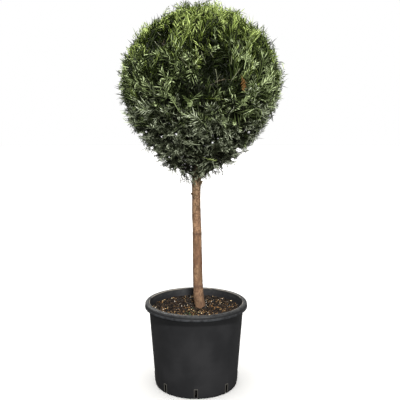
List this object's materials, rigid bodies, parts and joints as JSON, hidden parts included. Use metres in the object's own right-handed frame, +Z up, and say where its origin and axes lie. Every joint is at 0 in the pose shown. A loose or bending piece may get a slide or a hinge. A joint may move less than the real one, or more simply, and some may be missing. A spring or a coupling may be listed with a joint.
{
  "type": "potted leyland cypress",
  "caption": "Clipped ball of cypress foliage on a bare leaning stem, growing in bark mix in a round slotted nursery pot.",
  "frame": {"origin": "centre of the pot's flat underside, on the surface that the pot stands on", "axes": "+Z up along the trunk, -Y towards the front of the picture, +X to its right"},
  "size_m": [0.5097, 0.5, 1.1954],
  "materials": {
    "plastic": "moulded black nursery plastic, scuffed and dusty at the rim",
    "mix": "bark potting mix with chips",
    "bark": "thin orange-brown bark",
    "foliage": "flat sprays of scale leaves"
  },
  "bodies": {
    "root": {"pot": "plastic", "potting_mix": "mix", "trunk": "bark", "bough_lower_1": "bark", "bough_lower_2": "bark", "bough_lower_3": "bark", "bough_lower_4": "bark", "bough_lower_5": "bark", "bough_lower_6": "bark", "bough_middle_1": "bark", "bough_middle_2": "bark", "bough_middle_3": "bark", "bough_middle_4": "bark", "bough_middle_5": "bark", "bough_middle_6": "bark", "bough_upper_1": "bark", "bough_upper_2": "bark", "bough_upper_3": "bark", "bough_upper_4": "bark", "bough_upper_5": "bark", "foliage_lower_1": "foliage", "foliage_lower_2": "foliage", "foliage_lower_3": "foliage", "foliage_lower_4": "foliage", "foliage_lower_5": "foliage", "foliage_lower_6": "foliage", "foliage_middle_1": "foliage", "foliage_middle_2": "foliage", "foliage_middle_3": "foliage", "foliage_middle_4": "foliage", "foliage_middle_5": "foliage", "foliage_middle_6": "foliage", "foliage_upper_1": "foliage", "foliage_upper_2": "foliage", "foliage_upper_3": "foliage", "foliage_upper_4": "foliage", "foliage_upper_5": "foliage", "foliage_top": "foliage"}
  },
  "joints": []
}
